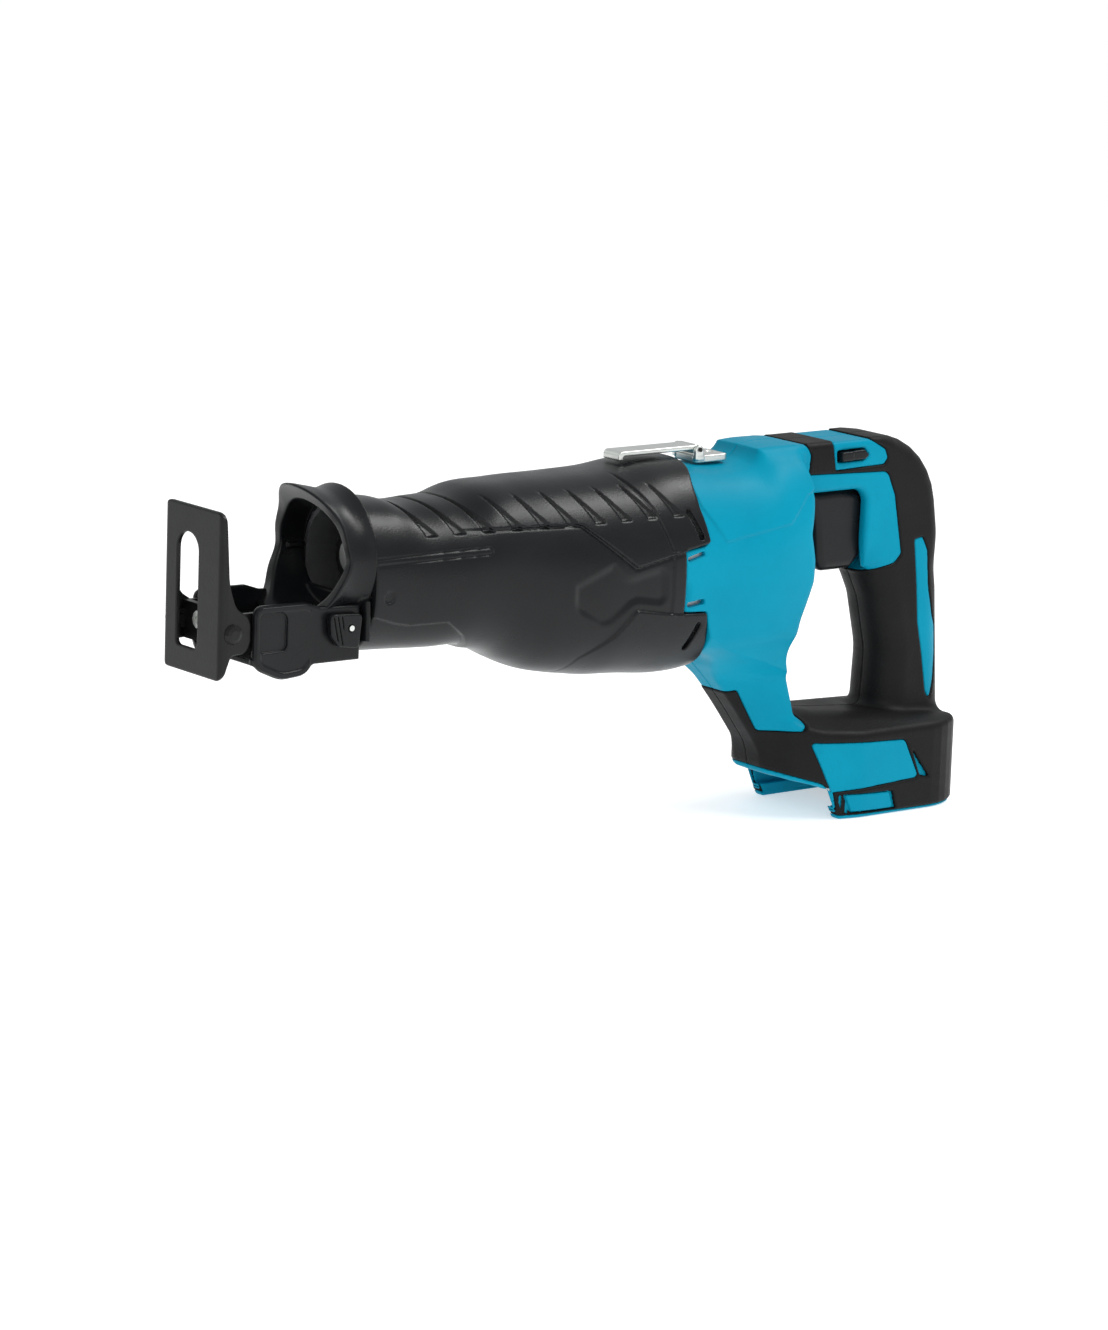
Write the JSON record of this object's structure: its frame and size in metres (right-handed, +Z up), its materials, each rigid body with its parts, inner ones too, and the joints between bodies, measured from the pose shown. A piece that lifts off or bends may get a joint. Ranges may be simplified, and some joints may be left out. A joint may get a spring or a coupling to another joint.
{
  "type": "reciprocating saw",
  "caption": "Cordless reciprocating saw with a long black barrel, tilting shoe, teal D-handle body, paddle trigger, folding hook and an empty battery foot.",
  "frame": {"origin": "middle of the overall box at the height of the battery foot's rim", "axes": "-X towards the blade end, +Z up, +Y to the tool's right side"},
  "size_m": [0.494, 0.094, 0.2074],
  "materials": {
    "teal_plastic": "satin moulded, fine texture",
    "black_elastomer": "matt soft-touch elastomer",
    "black_plastic": "matt moulded",
    "black_steel": "satin black paint",
    "bright_steel": "plain steel",
    "cast_aluminium": "as cast",
    "bronze": "sintered, oiled",
    "copper": "enamelled wire",
    "board_green": "solder resist",
    "lamination": "laminated steel"
  },
  "bodies": {
    "housing": {"housing_left": "teal_plastic", "housing_right": "teal_plastic", "grip_overmold_left": "black_elastomer", "grip_overmold_right": "black_elastomer", "barrel_cover": "black_elastomer", "nose_guard": "black_elastomer", "shoe_guide": "black_elastomer", "switch_body": "black_plastic", "terminal_block": "black_plastic", "hook_pivot_pin": "black_steel", "housing_screw_1": "black_steel", "housing_screw_2": "black_steel", "housing_screw_3": "black_steel", "housing_screw_4": "black_steel", "housing_screw_5": "black_steel", "housing_screw_6": "black_steel", "hook_bracket": "bright_steel", "shoe_lock_pin": "bright_steel", "crank_bearing": "bright_steel", "motor_bearing_front": "bright_steel", "motor_bearing_rear": "bright_steel", "trigger_spring": "bright_steel", "gear_housing": "cast_aluminium", "gear_housing_rear_wall": "cast_aluminium", "slider_guide_front": "cast_aluminium", "slider_guide_rear": "cast_aluminium", "slider_bush_front": "bronze", "slider_bush_rear": "bronze", "stator_coils_front": "copper", "stator_coils_rear": "copper", "terminal_contact_plus": "copper", "terminal_contact_minus": "copper", "control_board": "board_green", "sensor_board": "board_green", "stator_core": "lamination"},
    "trigger": {"trigger": "black_plastic"},
    "lock_off_button": {"lock_off_button": "black_plastic"},
    "hook": {"hook": "bright_steel"},
    "shoe_bracket": {"shoe_bracket": "black_steel", "shoe_bracket_screw": "bright_steel", "shoe_rivet_left": "bright_steel", "shoe_rivet_right": "bright_steel"},
    "shoe": {"shoe": "black_steel"},
    "shoe_lock_lever": {"shoe_lock_lever": "black_plastic"},
    "crank": {"crank_gear": "bright_steel", "crank_shaft": "bright_steel", "crank_pin": "bright_steel", "crank_roller": "bronze", "counterweight": "bright_steel"},
    "rotor": {"rotor_shaft": "bright_steel", "rotor_core": "lamination", "motor_fan": "black_plastic", "drive_pinion": "bright_steel"},
    "slider": {"slider": "bright_steel", "slider_yoke": "bright_steel", "clamp_stop_ring": "bright_steel"},
    "clamp_sleeve": {"clamp_sleeve": "black_steel"}
  },
  "joints": [
    {"name": "trigger_pull", "type": "slide", "parent": "housing", "child": "trigger", "axis": [1, 0, 0], "range_m": [0, 0.008], "stiffness_N_per_m": 900, "springref_m": -0.004, "deforming": ["trigger_spring"]},
    {"name": "lock_off_push", "type": "slide", "parent": "housing", "child": "lock_off_button", "axis": [0, 1, 0], "range_m": [0, 0.005]},
    {"name": "hook_swing", "type": "hinge", "parent": "housing", "child": "hook", "pos_m": [0.066, 0, 0.205], "axis": [0, 1, 0], "range_deg": [0, 120]},
    {"name": "shoe_extend", "type": "slide", "parent": "housing", "child": "shoe_bracket", "axis": [-1, 0, 0], "range_m": [0, 0.03]},
    {"name": "shoe_tilt", "type": "hinge", "parent": "shoe_bracket", "child": "shoe", "pos_m": [-0.24, 0, 0.138], "axis": [0, 1, 0], "range_deg": [-15, 10]},
    {"name": "shoe_lock_turn", "type": "hinge", "parent": "housing", "child": "shoe_lock_lever", "pos_m": [-0.173, -0.028, 0.136], "axis": [0, 1, 0], "range_deg": [0, 11]},
    {"name": "crank_turn", "type": "hinge", "parent": "housing", "child": "crank", "pos_m": [-0.02, 0, 0.127], "axis": [0, 0, 1], "continuous": true},
    {"name": "rotor_turn", "type": "hinge", "parent": "housing", "child": "rotor", "pos_m": [0.05, 0, 0.13633], "axis": [1, 0, 0], "continuous": true},
    {"name": "slider_stroke", "type": "slide", "parent": "housing", "child": "slider", "axis": [-1, 0, 0], "range_m": [0, 0.032]},
    {"name": "clamp_turn", "type": "hinge", "parent": "slider", "child": "clamp_sleeve", "pos_m": [-0.135, 0, 0.165], "axis": [1, 0, 0], "range_deg": [0, 60], "stiffness_Nm_per_rad": 0.25, "springref_deg": -11.46}
  ],
  "couplings": [
    {"joint": "rotor_turn", "follows": "crank_turn", "ratio": 3.4286}
  ]
}
